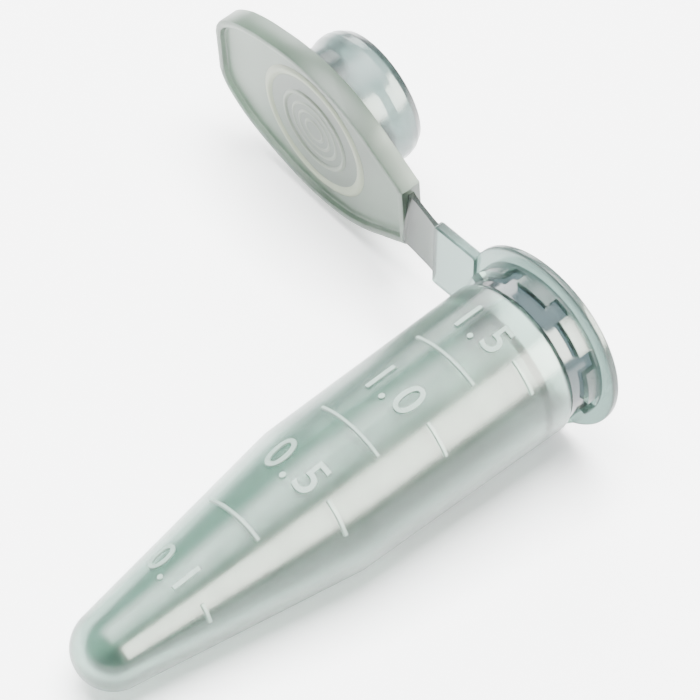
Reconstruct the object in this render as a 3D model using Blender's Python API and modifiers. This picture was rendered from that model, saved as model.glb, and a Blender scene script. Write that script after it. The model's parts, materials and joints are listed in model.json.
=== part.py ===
"""Snap-cap microcentrifuge tube, 1.5 mL, clear polypropylene, lying on its side with its lid open.

The tube is drawn on its own axis: x runs from the tip to the mouth (the mouth plane is x = 0), y runs
along the strap to the lid, and z points out of the graduated side.  A parent empty then lowers the
tip, because the tube rests on its rim and on its round tip.  The lid is drawn shut and its parent
empty, on the hinge axis, swings it open.  Dimensions are in millimetres, objects in metres.
"""
from math import acos, asin, atan2, cos, pi, radians, sin, sqrt

import bmesh
import bpy
from mathutils import Matrix, Quaternion, Vector

MM = 0.001
STEPS = 96

# tube
LENGTH = 38.8
TIP_R = 2.65
CONE_X = -19.8
WALL_TOP_X = -3.15
BODY_R_TOP = 5.45
BODY_R_LOW = 5.18
NECK_R = 5.20
BORE_MOUTH_R = 4.85
BORE_R_TOP = 4.62
BORE_R_LOW = 4.34
BORE_TIP_R = 1.75
# rim and collar
FLANGE_R = 6.55
FLANGE_T = 0.55
COLLAR_R = 5.62
COLLAR_IN = 5.23
COLLAR_TOP = -0.57
COLLAR_GAP = -0.82
COLLAR_LUG = -1.75
LUGS = 9
LUG_PHASE = 1.6
LUG_WIDTH = 27.0
# marks on the wall
CLEARANCE = 0.012
LINE_W = 0.24
LINE_T = 0.10
PANEL_T = 0.05
# strap and lid
STRAP_HALF = 2.75
STRAP_END_Y = 9.60
FILM_HALF = 2.15
FILM_T = 0.36
PIVOT = Vector((0.70, 11.2, 0.0))
LEAN = radians(2.4)
OPEN_ANGLE = radians(176.8)
CLOSED_GAP = 0.08
LID_T = 1.60
LIP_W = 0.55
LIP_H = 0.40
LID_TAIL = 9.5
PLUG_END = -4.15
# half width of the lid along its length: blunt thumb tab, round middle, tail at the strap
LID_HALF = [(-9.70, 1.90), (-9.45, 2.75), (-8.80, 3.65), (-7.30, 4.75), (-5.50, 5.50), (-4.00, 5.92),
            (-2.00, 6.35), (0.00, 6.50), (2.00, 6.34), (3.80, 5.88), (5.50, 5.12), (7.00, 4.20),
            (8.40, 3.35), (LID_TAIL, 2.65)]

for old in list(bpy.data.objects):
    bpy.data.objects.remove(old)

parts = bpy.data.collections.new("microcentrifuge_tube")
cutters = bpy.data.collections.new("cutters")
bpy.context.scene.collection.children.link(parts)
bpy.context.scene.collection.children.link(cutters)


def empty(name, parent=None):
    ob = bpy.data.objects.new(name, None)
    ob.empty_display_size = 0.004
    ob.parent = parent
    parts.objects.link(ob)
    return ob


LYING = empty("lying_tube")
HINGE = empty("hinge_axis", LYING)
HINGE.location = PIVOT * MM
HINGE.rotation_mode = 'QUATERNION'
HINGE.rotation_quaternion = Quaternion((-sin(LEAN), 0.0, cos(LEAN)), OPEN_ANGLE)


def material(name, rgb, rough):
    m = bpy.data.materials.new(name)
    m.use_nodes = True
    shader = m.node_tree.nodes["Principled BSDF"]
    shader.inputs["Base Color"].default_value = (*rgb, 1.0)
    shader.inputs["Roughness"].default_value = rough
    shader.inputs["IOR"].default_value = 1.49
    m.diffuse_color = (*rgb, 1.0)
    return m


CLEAR = (0.74, 0.82, 0.80)
MILKY = (0.67, 0.72, 0.66)
FROSTED = (0.80, 0.83, 0.81)


def place(ob, rgb, rough=0.15, on_lid=False):
    """Give a part its material, its collection and its parent."""
    ob.data.materials.append(material(ob.name + "_plastic", rgb, rough))
    ob.parent = HINGE if on_lid else LYING
    if on_lid:
        ob.location = -PIVOT * MM
    parts.objects.link(ob)
    return ob


def turned(name, profile, closed=True, angle=2 * pi, steps=STEPS, flip=False):
    """A profile of (x, r) points turned round the x axis."""
    mesh = bpy.data.meshes.new(name)
    points = [(x * MM, r * MM, 0.0) for x, r in profile]
    edges = [(k, k + 1) for k in range(len(points) - 1)]
    if closed:
        edges.append((len(points) - 1, 0))
    mesh.from_pydata(points, edges, [])
    ob = bpy.data.objects.new(name, mesh)
    turn = ob.modifiers.new("turn", 'SCREW')
    turn.axis = 'X'
    turn.angle = angle
    turn.steps = steps
    turn.render_steps = steps
    turn.use_merge_vertices = angle > 6.28
    turn.merge_threshold = 0.000001
    turn.use_smooth_shade = True
    turn.use_normal_calculate = True
    turn.use_normal_flip = flip
    return ob


def outline_mesh(name, outline, low, high, plane):
    """A flat outline given thickness from low to high, turned into a welded mesh."""
    curve = bpy.data.curves.new(name, 'CURVE')
    curve.dimensions = '2D'
    curve.fill_mode = 'BOTH'
    curve.extrude = (high - low) / 2 * MM
    spline = curve.splines.new('POLY')
    spline.points.add(len(outline) - 1)
    for point, (a, b) in zip(spline.points, outline):
        point.co = (a * MM, b * MM, 0.0, 1.0)
    spline.use_cyclic_u = True
    temp = bpy.data.objects.new(name, curve)
    bpy.context.scene.collection.objects.link(temp)
    mesh = bpy.data.meshes.new_from_object(temp.evaluated_get(bpy.context.evaluated_depsgraph_get()))
    bpy.data.objects.remove(temp)
    bm = bmesh.new()
    bm.from_mesh(mesh)
    bmesh.ops.remove_doubles(bm, verts=bm.verts, dist=0.000001)
    bmesh.ops.translate(bm, verts=bm.verts, vec=(0.0, 0.0, (low + high) / 2 * MM))
    bm.transform(plane)
    bmesh.ops.recalc_face_normals(bm, faces=bm.faces)
    if bm.calc_volume(signed=True) < 0:
        bmesh.ops.reverse_faces(bm, faces=bm.faces)
    bm.to_mesh(mesh)
    bm.free()
    return bpy.data.objects.new(name, mesh)


# an outline drawn in (y, z) with its thickness along x, and one drawn in (x, y)
ACROSS = Matrix(((0, 0, 1, 0), (1, 0, 0, 0), (0, 1, 0, 0), (0, 0, 0, 1)))
FLAT = Matrix.Identity(4)


def cut(ob, cutter):
    cutter.hide_render = True
    cutter.display_type = 'WIRE'
    cutter.parent = ob.parent
    cutter.location = ob.location
    cutters.objects.link(cutter)
    mod = ob.modifiers.new("cut_" + cutter.name, 'BOOLEAN')
    mod.operation = 'DIFFERENCE'
    mod.solver = 'EXACT'
    mod.object = cutter


# ---------------------------------------------------------------- tube
tip_centre = -LENGTH + TIP_R


def cone_touch(r_start, radius):
    """Angle on the tip's sphere where a cone from (CONE_X, r_start) touches it."""
    dx = CONE_X - tip_centre
    return atan2(r_start, dx) + acos(radius / sqrt(dx * dx + r_start * r_start))


def tip_arc(r_start, radius, count):
    first = cone_touch(r_start, radius)
    angles = [first + (pi - first) * k / count for k in range(count)]
    arc = [(tip_centre + radius * cos(a), radius * sin(a)) for a in angles]
    return arc + [(tip_centre - radius, 0.0)]


def wall_r(x):
    """Outer radius of the barrel or the cone at x."""
    if x > CONE_X:
        return BODY_R_LOW + (BODY_R_TOP - BODY_R_LOW) * (x - CONE_X) / (WALL_TOP_X - CONE_X)
    first = cone_touch(BODY_R_LOW, TIP_R)
    x_end = tip_centre + TIP_R * cos(first)
    return BODY_R_LOW + (TIP_R * sin(first) - BODY_R_LOW) * (CONE_X - x) / (CONE_X - x_end)


outside = [(-0.08, 5.12), (-0.16, NECK_R), (-2.9, NECK_R), (WALL_TOP_X, BODY_R_TOP), (CONE_X, BODY_R_LOW)]
outside += tip_arc(BODY_R_LOW, TIP_R, 10)
inside = [(-0.08, 5.04), (-0.30, BORE_MOUTH_R), (-4.55, BORE_MOUTH_R), (-4.85, BORE_R_TOP)]
inside += [(CONE_X, BORE_R_LOW)] + tip_arc(BORE_R_LOW, BORE_TIP_R, 8)
place(turned("tube_body", list(reversed(outside)) + inside, closed=False), CLEAR)

rim = [(-0.06, 5.24), (0.0, 5.32), (0.0, 6.43), (-0.10, FLANGE_R), (-0.45, FLANGE_R), (-FLANGE_T, 6.45)]
rim += [(-FLANGE_T, 5.70), (-0.50, 5.66), (-0.50, 5.24)]
place(turned("rim_flange", rim), CLEAR)

# collar: a ring under the rim, cut into square lugs
collar = [(COLLAR_TOP, COLLAR_IN), (COLLAR_TOP, COLLAR_R), (COLLAR_LUG, COLLAR_R), (COLLAR_LUG, COLLAR_IN)]
collar = place(turned("castellated_collar", collar), CLEAR)
gap_mesh = bpy.data.meshes.new("collar_gaps")
gaps = bmesh.new()
gap_angle = radians(360.0 / LUGS - LUG_WIDTH)
gap_size = Vector((1.6, 2.0, 2 * COLLAR_R * sin(gap_angle / 2))) * MM
for k in range(LUGS):
    middle = radians(LUG_PHASE + (k + 0.5) * 360.0 / LUGS)
    spin = Matrix.Rotation(middle + pi / 2, 4, 'X')
    shift = Matrix.Translation(Vector((COLLAR_GAP - 0.8, (COLLAR_IN + COLLAR_R) / 2, 0.0)) * MM)
    bmesh.ops.create_cube(gaps, size=1.0, matrix=spin @ shift @ Matrix.Diagonal((*gap_size, 1.0)))
gaps.to_mesh(gap_mesh)
gaps.free()
cut(collar, bpy.data.objects.new("collar_gaps", gap_mesh))

# ---------------------------------------------------------------- marks on the wall
# angles run in degrees from the graduated side away from the strap
GRADUATIONS = [
    ("graduation_tick_1_5", -5.8, 31.0, 57.0),
    ("graduation_tick_1_0", -13.0, 31.0, 57.0),
    ("graduation_tick_0_5", -21.3, 34.0, 63.0),
    ("graduation_tick_0_1", -31.2, 46.0, 68.0),
    ("graduation_line_upper", -9.0, -27.0, 29.0),
    ("graduation_line_middle", -17.0, -27.0, 30.0),
    ("graduation_line_lower", -26.2, -34.0, 28.0),
]


def on_wall(name, x_low, x_high, first, last, thick, steps):
    """A strip lying on the wall, between two angles, with its thickness outwards."""
    ends = [(x_low, wall_r(x_low) + CLEARANCE), (x_high, wall_r(x_high) + CLEARANCE)]
    ob = turned(name, ends, closed=False, angle=radians(last - first), steps=steps)
    ob.rotation_euler.x = radians(first + 90.0)
    skin = ob.modifiers.new("skin", 'SOLIDIFY')
    skin.thickness = thick * MM
    skin.offset = 1.0
    return ob


for name, x, first, last in GRADUATIONS:
    place(on_wall(name, x - LINE_W / 2, x + LINE_W / 2, first, last, LINE_T, 12), CLEAR)
place(on_wall("writing_panel", -16.0, -4.4, 132.0, 222.0, PANEL_T, 30), FROSTED, 0.6)

# ---------------------------------------------------------------- strap
root = FLANGE_R + 0.03
spread = asin(STRAP_HALF / root)
strap = [(root * cos(spread * (1 - k / 6)), root * sin(spread * (1 - k / 6))) for k in range(13)]
strap += [(STRAP_END_Y, -STRAP_HALF), (STRAP_END_Y, STRAP_HALF)]
place(outline_mesh("strap_base", strap, -0.80, -0.04, ACROSS), MILKY)


def swung(point):
    """Where a point of the shut lid goes when the lid is opened."""
    turn = Matrix.Rotation(OPEN_ANGLE, 3, Vector((-sin(LEAN), 0.0, cos(LEAN))))
    return PIVOT + turn @ (Vector(point) - PIVOT)


# film: an S from the strap's end to the lid's tail
tail = [swung((x, LID_TAIL, 0.0)) for x in (CLOSED_GAP, CLOSED_GAP + LID_T)]
film_y = (STRAP_END_Y + 0.03, min(p.y for p in tail) - 0.04)
film_x = (-0.30, min(p.x for p in tail) + 0.55)
film_low, film_high = [], []
for k in range(9):
    t = k / 8
    ease = 3 * t * t - 2 * t * t * t
    x = film_x[0] + (film_x[1] - film_x[0]) * ease
    y = film_y[0] + (film_y[1] - film_y[0]) * t
    film_low.append((x - FILM_T / 2, y))
    film_high.append((x + FILM_T / 2, y))
film = outline_mesh("film_hinge", film_low + film_high[::-1], -FILM_HALF, FILM_HALF, FLAT)
place(film, MILKY)


# ---------------------------------------------------------------- lid
def smooth_line(points, between):
    """Catmull-Rom curve through the points."""
    pts = [Vector(p) for p in points]
    ends = [2 * pts[0] - pts[1]] + pts + [2 * pts[-1] - pts[-2]]
    out = []
    for a, b, c, d in zip(ends, ends[1:], ends[2:], ends[3:]):
        for k in range(between):
            t = k / between
            bend = (2 * a - 5 * b + 4 * c - d) * t * t + (3 * b - a - 3 * c + d) * t * t * t
            out.append(0.5 * (2 * b + (c - a) * t + bend))
    return out + [pts[-1]]


def lid_outline(inset=0.0):
    """Closed lid outline, moved in by inset."""
    half = smooth_line(LID_HALF, 3)
    loop = half + [Vector((p.x, -p.y)) for p in reversed(half)]
    moved = []
    for k, p in enumerate(loop):
        along = (loop[(k + 1) % len(loop)] - loop[k - 1]).normalized()
        moved.append((p.x + along.y * inset, p.y - along.x * inset))
    return moved


lid_low, lid_high = CLOSED_GAP, CLOSED_GAP + LID_T
face = lid_high - LIP_H
lid = place(outline_mesh("lid_plate", lid_outline(), lid_low, lid_high, ACROSS), MILKY, on_lid=True)
cut(lid, outline_mesh("lid_recess", lid_outline(LIP_W), face, lid_high + 0.5, ACROSS))

for name, r_in, r_out in (("lid_ring_outer", 4.40, 5.00), ("lid_ring_inner", 2.85, 3.15)):
    low, high = face + CLEARANCE, face + 0.13
    ring = turned(name, [(low, r_out), (high, r_out), (high, r_in), (low, r_in)], steps=72, flip=True)
    place(ring, MILKY, on_lid=True)

plug_top = lid_low - CLEARANCE
plug = [(plug_top, 4.55), (-1.9, 4.60), (-2.5, 4.80), (-3.0, 4.82), (-3.55, 4.70), (PLUG_END, 4.35)]
plug += [(PLUG_END, 3.95), (-3.4, 3.85), (-0.5, 3.80), (plug_top, 3.75)]
place(turned("sealing_plug", plug), CLEAR, on_lid=True)


# ---------------------------------------------------------------- lay the tube on its side
def tip_down_angle():
    """Lean at which the rim and the round tip touch the same level."""
    low, high = 0.0, 0.3
    for _ in range(60):
        lean = (low + high) / 2
        rim_drop = max(FLANGE_R * cos(lean) - x * sin(lean) for x in (-0.10, -0.45))
        tip_drop = -tip_centre * sin(lean) + TIP_R
        if tip_drop < rim_drop:
            low = lean
        else:
            high = lean
    return low


LYING.rotation_euler.y = -tip_down_angle()
bpy.context.view_layer.update()
graph = bpy.context.evaluated_depsgraph_get()
corners = []
for ob in parts.objects:
    if ob.type != 'EMPTY':
        shape = ob.evaluated_get(graph)
        mesh = shape.to_mesh()
        corners += [ob.matrix_world @ v.co for v in mesh.vertices]
        shape.to_mesh_clear()
low = [min(c[i] for c in corners) for i in range(3)]
high = [max(c[i] for c in corners) for i in range(3)]
LYING.location = (-(low[0] + high[0]) / 2, -(low[1] + high[1]) / 2, -low[2])
bpy.context.view_layer.update()
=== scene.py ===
"""Looks for the snap-cap microcentrifuge tube: clear moulded polypropylene on a pale surface."""
import json
from math import acos, atan2, cos, degrees, pi, radians, sin, sqrt, tan

import bmesh
import bpy
from mathutils import Matrix, Vector


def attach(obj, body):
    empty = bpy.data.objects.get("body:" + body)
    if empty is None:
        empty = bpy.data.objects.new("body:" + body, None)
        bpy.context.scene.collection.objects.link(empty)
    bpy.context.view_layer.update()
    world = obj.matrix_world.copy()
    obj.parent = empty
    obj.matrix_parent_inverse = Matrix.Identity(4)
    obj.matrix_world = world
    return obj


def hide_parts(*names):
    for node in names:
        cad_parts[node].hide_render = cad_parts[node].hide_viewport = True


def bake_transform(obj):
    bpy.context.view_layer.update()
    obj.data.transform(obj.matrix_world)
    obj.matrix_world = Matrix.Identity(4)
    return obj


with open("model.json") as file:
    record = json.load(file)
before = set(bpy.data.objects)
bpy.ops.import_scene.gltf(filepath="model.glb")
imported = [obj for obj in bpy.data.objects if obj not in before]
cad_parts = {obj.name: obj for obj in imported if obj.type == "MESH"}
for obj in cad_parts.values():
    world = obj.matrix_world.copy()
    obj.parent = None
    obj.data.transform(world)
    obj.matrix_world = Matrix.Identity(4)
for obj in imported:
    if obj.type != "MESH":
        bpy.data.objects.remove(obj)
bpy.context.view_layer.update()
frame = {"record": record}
MM = 0.001

# ------------------------------------------------------------------ the tube's own axes
# The tube frame has x from the tip to the mouth (mouth plane at 0), y along the strap, z up the
# graduated side.  The rack seat gives its direction and place.
record = frame["record"]
seat = record["mounts"][0]
joint = record["behaviour"]["joints"][0]
AXIS_X = -Vector(seat["axis"]).normalized()
AXIS_Y = Vector((0.0, 1.0, 0.0))
AXIS_Z = AXIS_X.cross(AXIS_Y)
SEAT_X, SEAT_Y = -0.55, -6.05
MOUTH = Vector(seat["pos_m"]) - AXIS_X * (SEAT_X * MM) - AXIS_Y * (SEAT_Y * MM)
TURN = Matrix((AXIS_X, AXIS_Y, AXIS_Z)).transposed().to_4x4()
LAY = Matrix.Translation(MOUTH) @ TURN @ Matrix.Scale(MM, 4)

# the lid is drawn shut and then swung open about the hinge
PIVOT = Vector(joint["pos_m"])
HINGE = Vector(joint["axis"]).normalized()
OPEN = radians(-joint["range_deg"][0])
SWING = Matrix.Translation(PIVOT) @ Matrix.Rotation(OPEN, 4, HINGE) @ Matrix.Translation(-PIVOT)
LID_LAY = SWING @ LAY

# ------------------------------------------------------------------ sizes, mm, as in the CAD
TIP_X = -38.8
TIP_R = 2.65
CONE_X = -19.8
WALL_TOP_X = -3.15
BODY_R_TOP = 5.45
BODY_R_LOW = 5.18
NECK_R = 5.20
BORE_MOUTH_R = 4.85
BORE_R_TOP = 4.62
BORE_R_LOW = 4.34
BORE_TIP_R = 1.75
FLANGE_R = 6.55
COLLAR_R = 5.62
LUGS = 9
LUG_PHASE = 1.6
LUG_WIDTH = 27.0
LID_T = 1.60
LID_TAIL = 9.5
CLOSED_GAP = 0.08
AROUND = 160


# ------------------------------------------------------------------ materials
def plastic(name, tint, rough, clear, bump, scale, milk=0.0):
    """Moulded polypropylene: tinted, partly clear, with faint flow ripples in the surface."""
    m = bpy.data.materials.new(name)
    m.use_nodes = True
    tree = m.node_tree
    shader = tree.nodes["Principled BSDF"]
    shader.inputs["IOR"].default_value = 1.49
    shader.inputs["Transmission Weight"].default_value = clear
    if milk:
        shader.inputs["Subsurface Weight"].default_value = milk
        shader.inputs["Subsurface Radius"].default_value = (1.0, 1.0, 0.9)
        shader.inputs["Subsurface Scale"].default_value = 0.0012
    where = tree.nodes.new("ShaderNodeTexCoord")
    cloud = tree.nodes.new("ShaderNodeTexNoise")
    cloud.inputs["Scale"].default_value = scale
    cloud.inputs["Detail"].default_value = 3.0
    tree.links.new(where.outputs["Object"], cloud.inputs["Vector"])
    ramp = tree.nodes.new("ShaderNodeMapRange")
    ramp.inputs["To Min"].default_value = rough * 0.75
    ramp.inputs["To Max"].default_value = rough * 1.25
    tree.links.new(cloud.outputs["Fac"], ramp.inputs["Value"])
    tree.links.new(ramp.outputs["Result"], shader.inputs["Roughness"])
    shade = tree.nodes.new("ShaderNodeMix")
    shade.data_type = 'RGBA'
    shade.inputs["A"].default_value = (*[c * 0.93 for c in tint], 1.0)
    shade.inputs["B"].default_value = (*tint, 1.0)
    tree.links.new(cloud.outputs["Fac"], shade.inputs["Factor"])
    tree.links.new(shade.outputs["Result"], shader.inputs["Base Color"])
    push = tree.nodes.new("ShaderNodeBump")
    push.inputs["Strength"].default_value = bump
    push.inputs["Distance"].default_value = 0.00002
    tree.links.new(cloud.outputs["Fac"], push.inputs["Height"])
    tree.links.new(push.outputs["Normal"], shader.inputs["Normal"])
    return m


# middle roughness values are kept away from 0.28 to 0.30, where the clear wall rendered patchy
CLEAR = plastic("clear_polypropylene", (0.22, 0.325, 0.28), 0.235, 1.0, 0.25, 420.0)
# the barrel's own clear polypropylene tinted near-black: painted shade for the dark band the neck shows
# between rim and shoulder
NECK_PAINTED_SHADE = plastic("neck_painted_shade_polypropylene", (0.03, 0.045, 0.048), 0.14, 1.0, 0.10, 420.0)
# the plug is moulded with the milky lid but tinted much darker: painted shade for the dark look of its clear
# wall
PLUG_PAINTED_SHADE = plastic("plug_painted_shade_polypropylene", (0.085, 0.125, 0.118), 0.24, 1.0, 0.20, 420.0)
RIM = plastic("rim_polypropylene", (0.17, 0.26, 0.235), 0.24, 0.85, 0.20, 400.0)
MILKY = plastic("milky_polypropylene", (0.10, 0.15, 0.11), 0.34, 0.62, 0.20, 300.0)
STRAP = plastic("strap_polypropylene", (0.03, 0.047, 0.038), 0.23, 0.80, 0.20, 400.0)
FROST = plastic("frosted_polypropylene", (0.72, 0.80, 0.77), 0.35, 1.0, 0.40, 9000.0)
CREAM = plastic("lid_ring_polypropylene", (0.32, 0.38, 0.25), 0.35, 0.50, 0.20, 300.0)
RIDGE = plastic("lid_ridge_polypropylene", (0.22, 0.28, 0.21), 0.35, 0.55, 0.20, 300.0)
MARKS = plastic("raised_marks", (0.36, 0.48, 0.42), 0.35, 0.55, 0.20, 900.0)


# ------------------------------------------------------------------ mesh helpers
def make(bm, name, mat, place, body, replaced=(), smooth=35.0, joined=False):
    """A piece from a bmesh; one that is still to be joined gets its shading afterwards."""
    bmesh.ops.remove_doubles(bm, verts=bm.verts, dist=1e-5)
    bmesh.ops.recalc_face_normals(bm, faces=bm.faces)
    bm.transform(place)
    mesh = bpy.data.meshes.new(name)
    bm.to_mesh(mesh)
    bm.free()
    ob = bpy.data.objects.new(name, mesh)
    bpy.context.scene.collection.objects.link(ob)
    mesh.materials.append(mat)
    if not joined:
        soften(ob, smooth)
    if body:
        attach(ob, body)
    if replaced:
        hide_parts(*replaced)
    return ob


def soften(ob, angle):
    """Smooth shading that keeps flat faces flat and edges over the angle sharp."""
    mesh = ob.data
    mesh.shade_smooth()
    mesh.set_sharp_from_angle(angle=radians(angle))
    even = ob.modifiers.new("even_shading", 'WEIGHTED_NORMAL')
    even.keep_sharp = True


def revolve(profile, around=AROUND):
    """Closed (x, r) profile turned round the X axis; points with r = 0 become poles."""
    bm = bmesh.new()
    rings = []
    for x, r in profile:
        if r == 0.0:
            rings.append([bm.verts.new((x, 0.0, 0.0))])
            continue
        spots = [2.0 * pi * k / around for k in range(around)]
        rings.append([bm.verts.new((x, r * cos(a), r * sin(a))) for a in spots])
    pairs = list(zip(rings, rings[1:]))
    if profile[0][1] != 0.0:
        pairs.append((rings[-1], rings[0]))
    for one, two in pairs:
        for k in range(around):
            n = (k + 1) % around
            if len(one) == 1:
                bm.faces.new((one[0], two[n], two[k]))
            elif len(two) == 1:
                bm.faces.new((one[k], one[n], two[0]))
            else:
                bm.faces.new((one[k], one[n], two[n], two[k]))
    return bm


def round_corner(a, corner, b, radius, steps=4):
    """Points of a rounded corner between the straight lines a-corner and corner-b."""
    p, a, b = Vector(corner), Vector(a), Vector(b)
    one, two = (a - p).normalized(), (b - p).normalized()
    half = acos(max(-1.0, min(1.0, one.dot(two)))) / 2
    if half > 1.5:
        return [tuple(p)]
    reach = min(radius / tan(half), (a - p).length * 0.48, (b - p).length * 0.48)
    start, end = p + one * reach, p + two * reach
    pts = []
    for k in range(steps + 1):
        t = k / steps
        pts.append(tuple(start * (1 - t) ** 2 + p * 2 * t * (1 - t) + end * t * t))
    return pts


def rounded(points, radius, closed=True):
    """Round every corner of a profile; radius may be one number or one per point."""
    count = len(points)
    radii = radius if isinstance(radius, (list, tuple)) else [radius] * count
    out = []
    for k in range(count):
        at_end = k in (0, count - 1)
        if radii[k] <= 0.0 or (at_end and not closed):
            out.append(points[k])
            continue
        out += round_corner(points[k - 1], points[k], points[(k + 1) % count], radii[k])
    return out


def union(target, cutter, operation='UNION'):
    """Join or cut with an exact boolean and keep the result as the target's mesh."""
    mod = target.modifiers.new("join", 'BOOLEAN')
    mod.operation = operation
    mod.solver = 'EXACT'
    mod.object = cutter
    graph = bpy.context.evaluated_depsgraph_get()
    mesh = bpy.data.meshes.new_from_object(target.evaluated_get(graph))
    target.modifiers.remove(mod)
    old = target.data
    target.data = mesh
    bpy.data.meshes.remove(old)
    bpy.data.objects.remove(cutter)


# ------------------------------------------------------------------ tube
tip_centre = TIP_X + TIP_R


def tangent_angle(r_start, radius):
    """Angle on the tip's sphere where a cone from (CONE_X, r_start) touches it."""
    dx = CONE_X - tip_centre
    reach = sqrt(dx * dx + r_start * r_start)
    return atan2(r_start, dx) + acos(radius / reach)


def tip_arc(r_start, radius, count):
    first = tangent_angle(r_start, radius)
    pts = []
    for k in range(count):
        a = first + (pi - first) * k / count
        pts.append((tip_centre + radius * cos(a), radius * sin(a)))
    return pts + [(tip_centre - radius, 0.0)]


def wall_r(x):
    """Outer radius of the barrel or the cone at x."""
    if x > CONE_X:
        return BODY_R_LOW + (BODY_R_TOP - BODY_R_LOW) * (x - CONE_X) / (WALL_TOP_X - CONE_X)
    first = tangent_angle(BODY_R_LOW, TIP_R)
    x_end, r_end = tip_centre + TIP_R * cos(first), TIP_R * sin(first)
    return BODY_R_LOW + (r_end - BODY_R_LOW) * (CONE_X - x) / (CONE_X - x_end)


def fill(points, step):
    """Add points along the long straight runs of a profile."""
    out = [points[0]]
    for a, b in zip(points, points[1:]):
        n = max(1, int(abs(b[0] - a[0]) / step))
        out += [(a[0] + (b[0] - a[0]) * k / n, a[1] + (b[1] - a[1]) * k / n) for k in range(1, n + 1)]
    return out


wall_side = [(-0.02, 5.00), (-0.04, NECK_R), (-2.75, NECK_R), (WALL_TOP_X, BODY_R_TOP), (CONE_X, BODY_R_LOW)]
outside = rounded(wall_side, [0.0, 0.05, 0.3, 0.25, 1.2], closed=False)
outside = fill(outside[:-1], 1.2) + [(CONE_X, BODY_R_LOW)] + tip_arc(BODY_R_LOW, TIP_R, 22)
bore_side = [(-0.35, BORE_MOUTH_R), (-4.5, BORE_MOUTH_R), (-4.9, BORE_R_TOP), (CONE_X, BORE_R_LOW)]
inside = rounded(bore_side, [0.2, 0.4, 0.4, 0.0], closed=False)
inside = fill(inside, 1.2) + tip_arc(BORE_R_LOW, BORE_TIP_R, 16)
barrel = make(revolve(list(reversed(outside)) + inside), "barrel", CLEAR, Matrix(), None)
barrel.data.materials.append(NECK_PAINTED_SHADE)
# neck faces between -2.95 and -0.05 mm, outside and in, take the darker copy: painted shade on the neck
for face in barrel.data.polygons:
    face.material_index = 1 if -2.95 < face.center.x < -0.05 else 0
barrel.data.transform(LAY)
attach(barrel, "tube")
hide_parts("tube_body")


def sector(x_low, x_high, a_mid, width, r_in, r_out, steps=8):
    """Block on the wall; the angle runs in degrees from +Z towards -Y."""
    bm = bmesh.new()
    rows = []
    for k in range(steps + 1):
        a = radians(a_mid - width / 2 + width * k / steps)
        corners = ((x_low, r_in), (x_high, r_in), (x_high, r_out), (x_low, r_out))
        rows.append([bm.verts.new((x, -r * sin(a), r * cos(a))) for x, r in corners])
    for one, two in zip(rows, rows[1:]):
        for j in range(4):
            m = (j + 1) % 4
            bm.faces.new((one[j], one[m], two[m], two[j]))
    bm.faces.new(rows[0])
    bm.faces.new(list(reversed(rows[-1])))
    return bm


RIM_IN = NECK_R - 0.06
rim_profile = rounded([(0.0, RIM_IN), (0.0, FLANGE_R), (-0.50, FLANGE_R), (-0.57, COLLAR_R),
                       (-0.82, COLLAR_R - 0.02), (-0.82, RIM_IN)], [0.05, 0.16, 0.16, 0.0, 0.05, 0.0])
rim = make(revolve(rim_profile), "rim", RIM, Matrix(), None, joined=True)
lug_mesh = bmesh.new()
for k in range(LUGS):
    block = sector(-1.75, -0.30, LUG_PHASE + k * 360.0 / LUGS, LUG_WIDTH, RIM_IN + 0.01, COLLAR_R)
    bmesh.ops.recalc_face_normals(block, faces=block.faces)
    part = bpy.data.meshes.new("lug")
    block.to_mesh(part)
    block.free()
    lug_mesh.from_mesh(part)
    bpy.data.meshes.remove(part)
lugs = make(lug_mesh, "lugs", RIM, Matrix(), None, joined=True)
union(rim, lugs)


# ------------------------------------------------------------------ strap root, part of the tube
STRAP_HALF = 2.75
STRAP_END = 9.60


def slab(outline, low, high, edge=0.12):
    """Outline in (y, z) given thickness in x, with softened edges."""
    bm = bmesh.new()
    cy = sum(p[0] for p in outline) / len(outline)
    cz = sum(p[1] for p in outline) / len(outline)
    loops = []
    for x, inset in ((low, edge), (low + edge, 0.0), (high - edge, 0.0), (high, edge)):
        loop = []
        for y, z in outline:
            away = Vector((y - cy, z - cz))
            near = Vector((y, z)) - away.normalized() * inset
            loop.append(bm.verts.new((x, near.x, near.y)))
        loops.append(loop)
    for one, two in zip(loops, loops[1:]):
        for k in range(len(one)):
            n = (k + 1) % len(one)
            bm.faces.new((one[k], one[n], two[n], two[k]))
    bm.faces.new(loops[0])
    bm.faces.new(loops[-1])
    return bm


root_outline = rounded([(5.8, STRAP_HALF), (STRAP_END, STRAP_HALF), (STRAP_END, -STRAP_HALF),
                        (5.8, -STRAP_HALF)], 0.25)
root = make(slab(root_outline, -0.80, -0.04), "strap_root", RIM, Matrix(), None, joined=True)
union(rim, root)
rim.data.transform(LAY)
soften(rim, 35.0)
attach(rim, "tube")
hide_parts("rim_flange", "castellated_collar", "strap_base")


# ------------------------------------------------------------------ lid and plug
# half width of the lid along its length: blunt thumb tab at -Y, round middle, tail at +Y
LID_HALF = [(-9.70, 1.90), (-9.45, 2.75), (-8.80, 3.65), (-7.30, 4.75), (-5.50, 5.50), (-4.00, 5.92),
            (-2.00, 6.35), (0.00, 6.50), (2.00, 6.34), (3.80, 5.88), (5.50, 5.12), (7.00, 4.20),
            (8.40, 3.35), (LID_TAIL, 2.65)]


def smooth_line(points, between):
    """Catmull-Rom curve through the points."""
    pts = [Vector(p) for p in points]
    ends = [2 * pts[0] - pts[1]] + pts + [2 * pts[-1] - pts[-2]]
    out = []
    for a, b, c, d in zip(ends, ends[1:], ends[2:], ends[3:]):
        for k in range(between):
            t = k / between
            bend = (2 * a - 5 * b + 4 * c - d) * t * t + (3 * b - a - 3 * c + d) * t * t * t
            out.append(0.5 * (2 * b + (c - a) * t + bend))
    return out + [pts[-1]]


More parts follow.
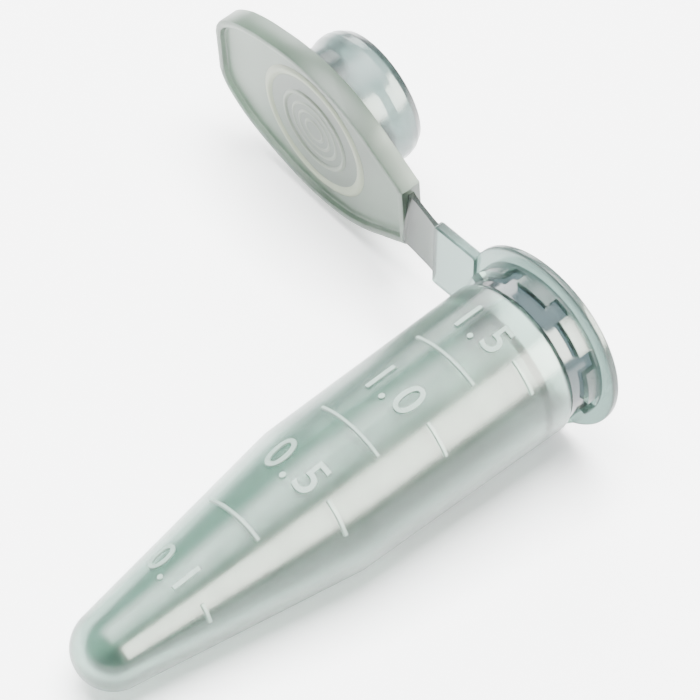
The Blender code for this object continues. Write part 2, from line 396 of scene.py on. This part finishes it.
def lid_outline(inset=0.0):
    """Closed lid outline, moved in by inset."""
    half = smooth_line(LID_HALF, 7)
    loop = half + [Vector((p.x, -p.y)) for p in reversed(half)]
    moved = []
    for k, p in enumerate(loop):
        along = (loop[(k + 1) % len(loop)] - loop[k - 1]).normalized()
        moved.append((p.x + along.y * inset, p.y - along.x * inset))
    return moved


LOW = CLOSED_GAP
HIGH = CLOSED_GAP + LID_T
LIP_H = 0.40
FACE = HIGH - LIP_H
steps = [(0.18, LOW), (0.05, LOW + 0.05), (0.0, LOW + 0.18), (0.0, HIGH - 0.18), (0.05, HIGH - 0.05),
         (0.18, HIGH), (0.42, HIGH), (0.52, HIGH - 0.05), (0.62, FACE + 0.08), (0.75, FACE)]
lid = bmesh.new()
loops = [[lid.verts.new((x, y, z)) for y, z in lid_outline(inset)] for inset, x in steps]
for one, two in zip(loops, loops[1:]):
    for k in range(len(one)):
        n = (k + 1) % len(one)
        lid.faces.new((one[k], one[n], two[n], two[k]))
lid.faces.new(loops[0])
lid.faces.new(loops[-1])
lid_plate = make(lid, "lid", MILKY, Matrix(), None, joined=True)

plug_outer = [(LOW + 0.3, 4.62), (-1.9, 4.60), (-2.55, 4.80), (-3.05, 4.83), (-3.6, 4.70), (-4.15, 4.35)]
plug_inner = [(-4.15, 3.95), (-3.5, 3.85), (-0.3, 3.80), (-0.05, 3.70), (-0.05, 0.0)]
plug_profile = rounded(plug_outer + plug_inner, [0, 0.8, 0.6, 0.6, 0.6, 0.12, 0.12, 0.4, 0.2, 0.1, 0],
                       closed=False)
# the plug takes the darker tint, painted shade on its wall
make(revolve([(LOW + 0.3, 0.0)] + plug_profile), "plug", PLUG_PAINTED_SHADE, LID_LAY, "lid", ("sealing_plug",))


def face_ring(r_in, r_out, high):
    """Low ridge with a soft round top, sunk a little into the lid's face."""
    section = []
    for k in range(11):
        t = k / 10
        section.append((FACE - 0.02 + (high + 0.02) * sin(pi * t), r_in + (r_out - r_in) * t))
    section += [(FACE - 0.06, r_out), (FACE - 0.06, r_in)]
    return revolve(section, 120)


# one wide soft ring, a narrow one inside it, and fine ones round the middle
make(face_ring(4.30, 5.10, 0.13), "lid_ring", CREAM, LID_LAY, "lid", ("lid_ring_outer",), 80.0)
make(face_ring(2.78, 3.22, 0.12), "lid_ring_small", RIDGE, LID_LAY, "lid", ("lid_ring_inner",), 80.0)
for r_mid in (2.18, 1.52, 0.84):
    fine = make(face_ring(r_mid - 0.16, r_mid + 0.16, 0.05), "lid_ring_fine", RIDGE, LID_LAY, "lid", (), 80.0)
lid_plate.data.transform(LID_LAY)
soften(lid_plate, 35.0)
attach(lid_plate, "lid")
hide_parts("lid_plate")


# ------------------------------------------------------------------ film hinge, bent to meet the open lid
FILM_HALF = 2.15
tail_low = SWING @ (LAY @ Vector((HIGH, LID_TAIL, 0.0)))
tail_high = SWING @ (LAY @ Vector((LOW, LID_TAIL, 0.0)))
to_tube = LAY.inverted()
tail_a, tail_b = to_tube @ tail_low, to_tube @ tail_high
film = bmesh.new()
rows = []
FILM_STEPS = 28
start_y = STRAP_END - 0.15
end_y = min(tail_a.y, tail_b.y) + 0.12
for k in range(FILM_STEPS + 1):
    t = k / FILM_STEPS
    y = start_y + (end_y - start_y) * t
    x_mid = -0.34 + (tail_a.x + 0.42 + 0.34) * t
    thick = 0.16 + 0.10 * (2 * t - 1) ** 4
    lean = radians(-4.8) * t
    row = []
    for dx, z in ((-thick, -1), (-thick, -0.5), (-thick, 0), (-thick, 0.5), (-thick, 1),
                  (thick, 1), (thick, 0.5), (thick, 0), (thick, -0.5), (thick, -1)):
        across = z * FILM_HALF
        row.append(film.verts.new((x_mid + dx * cos(lean) - across * sin(lean), y,
                                   across * cos(lean) + dx * sin(lean))))
    rows.append(row)
for one, two in zip(rows, rows[1:]):
    for j in range(10):
        m = (j + 1) % 10
        film.faces.new((one[j], one[m], two[m], two[j]))
film.faces.new(rows[0])
film.faces.new(rows[-1])
film_piece = make(film, "film", STRAP, LAY, None, smooth=50.0)
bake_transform(film_piece)
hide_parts("film_hinge")


# ------------------------------------------------------------------ graduations
SINK = 0.03
NUMERAL_LIFT = 0.16
NUMERAL_WIDTH = 0.86


def wrap(ob, x_mid, a_mid, lift):
    """Lay flat lettering (in its XY plane, mm) on the wall; text runs round the tube."""
    for v in ob.data.vertices:
        across, up, high = v.co
        x = x_mid + up
        r = wall_r(x) - SINK + (lift if high > 0.0 else 0.0)
        a = radians(a_mid) + across / wall_r(x)
        v.co = (x, -r * sin(a), r * cos(a))


def numeral(text, name, x_mid, a_mid, size):
    curve = bpy.data.curves.new(name, 'FONT')
    curve.body = text
    curve.size = size
    curve.align_x = 'CENTER'
    curve.align_y = 'CENTER'
    curve.extrude = 0.5
    curve.offset = 0.02
    curve.resolution_u = 6
    temp = bpy.data.objects.new(name, curve)
    bpy.context.scene.collection.objects.link(temp)
    graph = bpy.context.evaluated_depsgraph_get()
    mesh = bpy.data.meshes.new_from_object(temp.evaluated_get(graph))
    bpy.data.objects.remove(temp)
    ob = bpy.data.objects.new(name, mesh)
    bpy.context.scene.collection.objects.link(ob)
    low = min(v.co.y for v in mesh.vertices)
    high = max(v.co.y for v in mesh.vertices)
    for v in mesh.vertices:
        v.co.x *= NUMERAL_WIDTH
        v.co.y -= (low + high) / 2
    wrap(ob, x_mid, a_mid, NUMERAL_LIFT)
    mesh.materials.clear()
    mesh.materials.append(MARKS)
    mesh.transform(LAY)
    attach(ob, "tube")
    return ob


for label, x_mid, left, right, size in (("1.5", -5.8, -13.0, 14.0, 3.2), ("1.0", -13.0, -16.0, 11.5, 3.4),
                                        ("0.5", -21.3, -16.5, 15.0, 3.4), ("0.1", -31.1, -21.0, 16.0, 2.9)):
    tag = "numeral_" + label.replace(".", "_")
    numeral(label[0], tag + "_first", x_mid, left, size)
    numeral(".", tag + "_point", x_mid - 1.1, (left + right) / 2, size)
    numeral(label[2], tag + "_second", x_mid, right, size)

GRADUATIONS = [
    ("graduation_tick_1_5", -5.8, 31.0, 57.0),
    ("graduation_tick_1_0", -13.0, 31.0, 57.0),
    ("graduation_tick_0_5", -21.3, 34.0, 63.0),
    ("graduation_tick_0_1", -31.2, 46.0, 68.0),
    ("graduation_line_upper", -9.0, -27.0, 29.0),
    ("graduation_line_middle", -17.0, -27.0, 30.0),
    ("graduation_line_lower", -26.2, -34.0, 28.0),
]
for name, x, a_low, a_high in GRADUATIONS:
    bar = bmesh.new()
    rows = []
    for k in range(25):
        a = radians(a_low + (a_high - a_low) * k / 24)
        row = []
        for dx, high in ((-0.16, -SINK), (0.16, -SINK), (0.10, 0.11), (-0.10, 0.11)):
            r = wall_r(x + dx) + high
            row.append(bar.verts.new((x + dx, -r * sin(a), r * cos(a))))
        rows.append(row)
    for one, two in zip(rows, rows[1:]):
        for j in range(4):
            m = (j + 1) % 4
            bar.faces.new((one[j], one[m], two[m], two[j]))
    bar.faces.new(rows[0])
    bar.faces.new(rows[-1])
    make(bar, name + "_line", MARKS, LAY, "tube", (name,))

# ------------------------------------------------------------------ frosted writing panel
PANEL_LOW, PANEL_HIGH, PANEL_MID, PANEL_WIDTH = -16.0, -4.4, 177.0, 90.0
PANEL_T = 0.05
PANEL_CORNER = 1.6
panel = bmesh.new()
cells = 48
grid = []
for i in range(cells + 1):
    x = PANEL_LOW + (PANEL_HIGH - PANEL_LOW) * i / cells
    end = min(x - PANEL_LOW, PANEL_HIGH - x)
    cut = PANEL_CORNER - sqrt(max(0.0, PANEL_CORNER ** 2 - max(0.0, PANEL_CORNER - end) ** 2))
    half = PANEL_WIDTH / 2 - degrees(cut / BODY_R_TOP)
    line = []
    for k in range(cells + 1):
        a = radians(PANEL_MID - half + 2 * half * k / cells)
        depths = (wall_r(x) - SINK, wall_r(x) + PANEL_T)
        line.append([panel.verts.new((x, -r * sin(a), r * cos(a))) for r in depths])
    grid.append(line)
for i in range(cells):
    for k in range(cells):
        for m in (0, 1):
            panel.faces.new((grid[i][k][m], grid[i + 1][k][m], grid[i + 1][k + 1][m], grid[i][k + 1][m]))
for i in range(cells):
    for k in (0, cells):
        panel.faces.new((grid[i][k][0], grid[i + 1][k][0], grid[i + 1][k][1], grid[i][k][1]))
        panel.faces.new((grid[k][i][0], grid[k][i + 1][0], grid[k][i + 1][1], grid[k][i][1]))
make(panel, "frosted_panel", FROST, LAY, "tube", ("writing_panel",))

# ------------------------------------------------------------------ floor, lights, camera
floor_mesh = bpy.data.meshes.new("floor")
SPAN = 3.0
corners = [(-SPAN, -SPAN, 0.0), (SPAN, -SPAN, 0.0), (SPAN, SPAN, 0.0), (-SPAN, SPAN, 0.0)]
floor_mesh.from_pydata(corners, [], [(0, 1, 2, 3)])
floor = bpy.data.objects.new("floor", floor_mesh)
bpy.context.scene.collection.objects.link(floor)
floor.location.z = -0.00005
pale = bpy.data.materials.new("pale_floor")
pale.use_nodes = True
pale_shader = pale.node_tree.nodes["Principled BSDF"]
pale_shader.inputs["Base Color"].default_value = (0.93, 0.93, 0.93, 1.0)
pale_shader.inputs["Roughness"].default_value = 0.9
pale_shader.inputs["Specular IOR Level"].default_value = 0.1
pale_shader.inputs["Emission Color"].default_value = (1.0, 1.0, 1.0, 1.0)
pale_shader.inputs["Emission Strength"].default_value = 0.45
floor_mesh.materials.append(pale)


def lamp(name, place, aim, size, power, colour=(1.0, 1.0, 1.0), long=None):
    light = bpy.data.lights.new(name, 'AREA')
    light.energy = power
    light.size = size
    light.color = colour
    if long is not None:
        light.shape = 'RECTANGLE'
        light.size_y = long
    ob = bpy.data.objects.new(name, light)
    ob.location = place
    ob.rotation_euler = (Vector(aim) - Vector(place)).to_track_quat('-Z', 'Y').to_euler()
    bpy.context.scene.collection.objects.link(ob)
    return ob


CENTRE = Vector((0.0, 0.0, 0.007))
overhead = lamp("overhead", (0.0, 0.05, 0.70), CENTRE, 0.60, 36.0)
overhead.visible_glossy = False
lamp("back", (0.35, 0.45, 0.30), CENTRE, 0.30, 4.0)
# a long soft strip whose reflection runs along the barrel; it lights only glossy surfaces
glint_side = radians(57.0)
glint = AXIS_X * 0.435 + (AXIS_Z * cos(glint_side) - AXIS_Y * sin(glint_side)) * 0.9
strip = lamp("strip", CENTRE + glint * 0.5, CENTRE, 0.60, 34.0, (0.96, 1.0, 0.88), 0.36)
strip.visible_diffuse = False
world = bpy.data.worlds.new("studio")
bpy.context.scene.world = world
world.use_nodes = True
sky = world.node_tree.nodes["Background"]
sky.inputs["Color"].default_value = (0.93, 0.97, 1.0, 1.0)
sky.inputs["Strength"].default_value = 0.75

CAMERA_AZIMUTH = radians(-48.5)
CAMERA_ELEVATION = radians(46.4)
CAMERA_ROLL = radians(7.55)
CAMERA_DISTANCE = 0.300
CAMERA_AIM = Vector((0.0024, -0.0085, 0.0110))
back = Vector((sin(CAMERA_AZIMUTH) * cos(CAMERA_ELEVATION),
               -cos(CAMERA_AZIMUTH) * cos(CAMERA_ELEVATION), sin(CAMERA_ELEVATION)))
right = Vector((0.0, 0.0, 1.0)).cross(back).normalized()
up = back.cross(right)
rolled_right = right * cos(CAMERA_ROLL) + up * sin(CAMERA_ROLL)
rolled_up = up * cos(CAMERA_ROLL) - right * sin(CAMERA_ROLL)
camera_data = bpy.data.cameras.new("camera")
camera_data.sensor_width = 36.0
camera_data.lens = 251.0
camera_data.clip_start = 0.01
camera = bpy.data.objects.new("camera", camera_data)
pose = Matrix((rolled_right, rolled_up, back)).transposed().to_4x4()
pose.translation = CAMERA_AIM + back * CAMERA_DISTANCE
camera.matrix_world = pose
bpy.context.scene.collection.objects.link(camera)
bpy.context.scene.camera = camera
